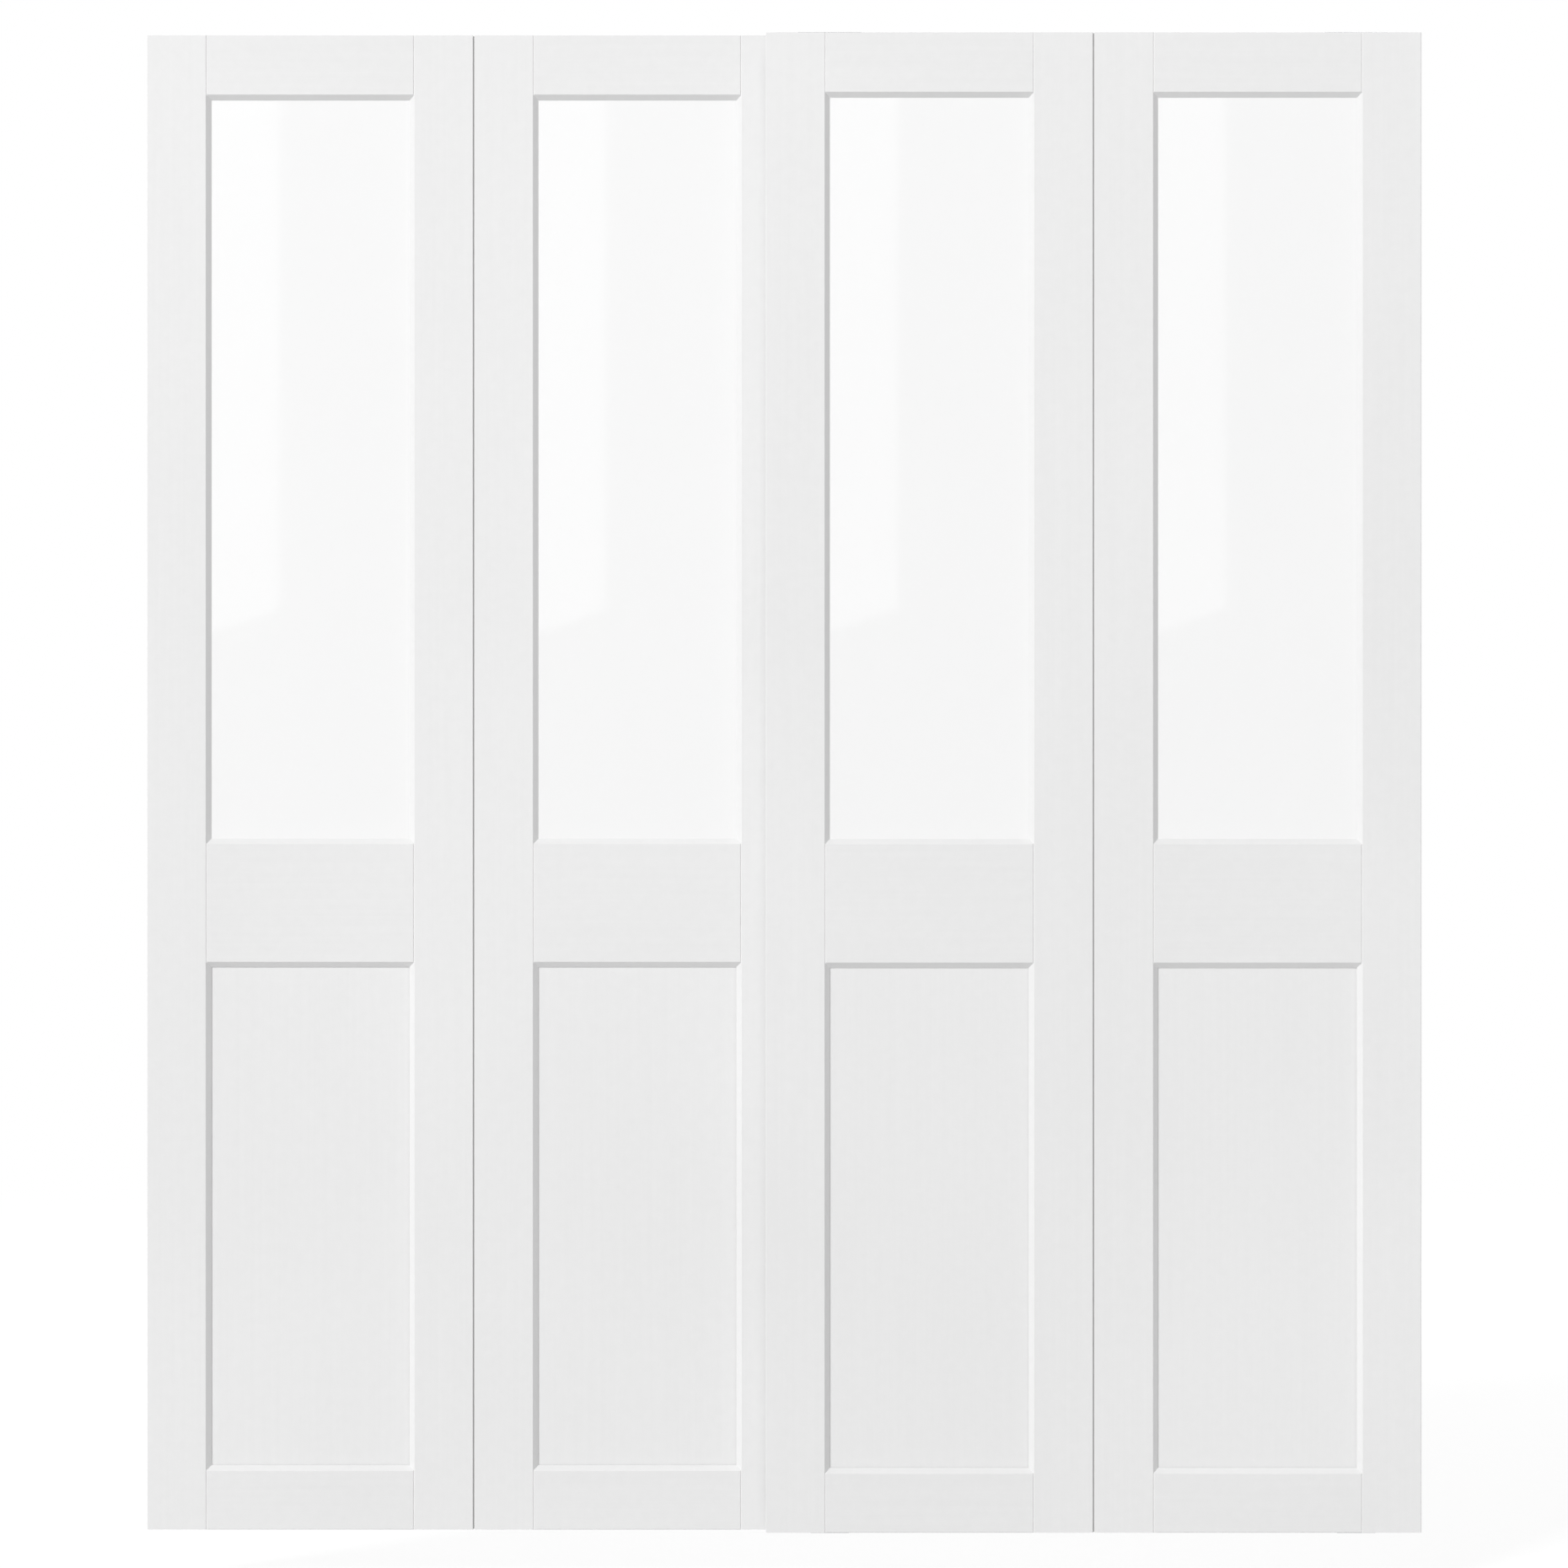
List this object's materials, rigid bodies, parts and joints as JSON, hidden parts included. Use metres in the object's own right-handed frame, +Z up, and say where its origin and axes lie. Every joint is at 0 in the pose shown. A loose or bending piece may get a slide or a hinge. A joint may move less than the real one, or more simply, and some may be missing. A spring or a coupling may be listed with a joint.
{
  "type": "double sliding door",
  "caption": "Overlapping wardrobe sliding doors with framed leaves, frosted upper panes and flat lower panels, hung on grooved wheels from an upper rail and guided in a lower rail.",
  "frame": {"origin": "back face of the upper rail, in the middle of its row of screw holes", "axes": "+X to the right as seen from the front, +Y out of the back towards the wardrobe, +Z up"},
  "size_m": [2, 0.08, 2.357],
  "materials": {
    "white_foil": "fibreboard wrapped in smooth white foil, satin",
    "white_panel": "thin fibreboard with smooth white foil, satin",
    "frosted_glass": "frosted, nearly white",
    "aluminium": "extruded, natural anodised",
    "zinc_steel": "bright zinc plated",
    "white_plastic": "moulded, fine matt",
    "grey_plastic": "moulded, fine matt"
  },
  "bodies": {
    "rails": {"top_rail": "aluminium", "bottom_rail": "aluminium", "left_end_stop": "grey_plastic", "right_end_stop": "grey_plastic"},
    "rear_door": {"rear_left_leaf_left_stile": "white_foil", "rear_left_leaf_right_stile": "white_foil", "rear_left_leaf_top_rail": "white_foil", "rear_left_leaf_middle_rail": "white_foil", "rear_left_leaf_bottom_rail": "white_foil", "rear_left_leaf_glass": "frosted_glass", "rear_left_leaf_lower_panel": "white_panel", "rear_right_leaf_left_stile": "white_foil", "rear_right_leaf_right_stile": "white_foil", "rear_right_leaf_top_rail": "white_foil", "rear_right_leaf_middle_rail": "white_foil", "rear_right_leaf_bottom_rail": "white_foil", "rear_right_leaf_glass": "frosted_glass", "rear_right_leaf_lower_panel": "white_panel", "rear_door_top_brace": "aluminium", "rear_door_middle_brace": "aluminium", "rear_door_bottom_brace": "aluminium", "rear_door_screws": "zinc_steel", "rear_door_eccentric_axles": "zinc_steel", "rear_left_hanger": "zinc_steel", "rear_left_guide_housing": "white_plastic", "rear_right_hanger": "zinc_steel", "rear_right_guide_housing": "white_plastic"},
    "rear_left_wheel": {"rear_left_wheel": "white_plastic"},
    "rear_left_guide_slider": {"rear_left_guide_slider": "grey_plastic"},
    "rear_right_wheel": {"rear_right_wheel": "white_plastic"},
    "rear_right_guide_slider": {"rear_right_guide_slider": "grey_plastic"},
    "front_door": {"front_left_leaf_left_stile": "white_foil", "front_left_leaf_right_stile": "white_foil", "front_left_leaf_top_rail": "white_foil", "front_left_leaf_middle_rail": "white_foil", "front_left_leaf_bottom_rail": "white_foil", "front_left_leaf_glass": "frosted_glass", "front_left_leaf_lower_panel": "white_panel", "front_right_leaf_left_stile": "white_foil", "front_right_leaf_right_stile": "white_foil", "front_right_leaf_top_rail": "white_foil", "front_right_leaf_middle_rail": "white_foil", "front_right_leaf_bottom_rail": "white_foil", "front_right_leaf_glass": "frosted_glass", "front_right_leaf_lower_panel": "white_panel", "front_door_top_brace": "aluminium", "front_door_middle_brace": "aluminium", "front_door_bottom_brace": "aluminium", "front_door_screws": "zinc_steel", "front_door_eccentric_axles": "zinc_steel", "front_left_hanger": "zinc_steel", "front_left_guide_housing": "white_plastic", "front_left_guide_arm": "zinc_steel", "front_right_hanger": "zinc_steel", "front_right_guide_housing": "white_plastic", "front_right_guide_arm": "zinc_steel"},
    "front_left_wheel": {"front_left_wheel": "white_plastic"},
    "front_left_guide_slider": {"front_left_guide_slider": "grey_plastic"},
    "front_right_wheel": {"front_right_wheel": "white_plastic"},
    "front_right_guide_slider": {"front_right_guide_slider": "grey_plastic"}
  },
  "joints": [
    {"name": "rear_door_slide", "type": "slide", "parent": "rails", "child": "rear_door", "axis": [1, 0, 0], "range_m": [0, 0.973]},
    {"name": "rear_left_wheel_turn", "type": "hinge", "parent": "rear_door", "child": "rear_left_wheel", "pos_m": [-0.9, -0.0221, -0.0085], "axis": [0, 1, 0], "continuous": true},
    {"name": "rear_left_guide_slider_drop", "type": "slide", "parent": "rear_door", "child": "rear_left_guide_slider", "axis": [0, 0, -1], "range_m": [0, 0.0115]},
    {"name": "rear_right_wheel_turn", "type": "hinge", "parent": "rear_door", "child": "rear_right_wheel", "pos_m": [-0.073, -0.0221, -0.0085], "axis": [0, 1, 0], "continuous": true},
    {"name": "rear_right_guide_slider_drop", "type": "slide", "parent": "rear_door", "child": "rear_right_guide_slider", "axis": [0, 0, -1], "range_m": [0, 0.0115]},
    {"name": "front_door_slide", "type": "slide", "parent": "rails", "child": "front_door", "axis": [-1, 0, 0], "range_m": [0, 0.973]},
    {"name": "front_left_wheel_turn", "type": "hinge", "parent": "front_door", "child": "front_left_wheel", "pos_m": [0.073, -0.0094, -0.0085], "axis": [0, 1, 0], "continuous": true},
    {"name": "front_left_guide_slider_drop", "type": "slide", "parent": "front_door", "child": "front_left_guide_slider", "axis": [0, 0, -1], "range_m": [0, 0.0115]},
    {"name": "front_right_wheel_turn", "type": "hinge", "parent": "front_door", "child": "front_right_wheel", "pos_m": [0.9, -0.0094, -0.0085], "axis": [0, 1, 0], "continuous": true},
    {"name": "front_right_guide_slider_drop", "type": "slide", "parent": "front_door", "child": "front_right_guide_slider", "axis": [0, 0, -1], "range_m": [0, 0.0115]}
  ],
  "couplings": [
    {"joint": "rear_left_wheel_turn", "follows": "rear_door_slide", "rad_per_m": 103.09},
    {"joint": "rear_right_wheel_turn", "follows": "rear_door_slide", "rad_per_m": 103.09},
    {"joint": "front_left_wheel_turn", "follows": "front_door_slide", "rad_per_m": -103.09},
    {"joint": "front_right_wheel_turn", "follows": "front_door_slide", "rad_per_m": -103.09}
  ]
}
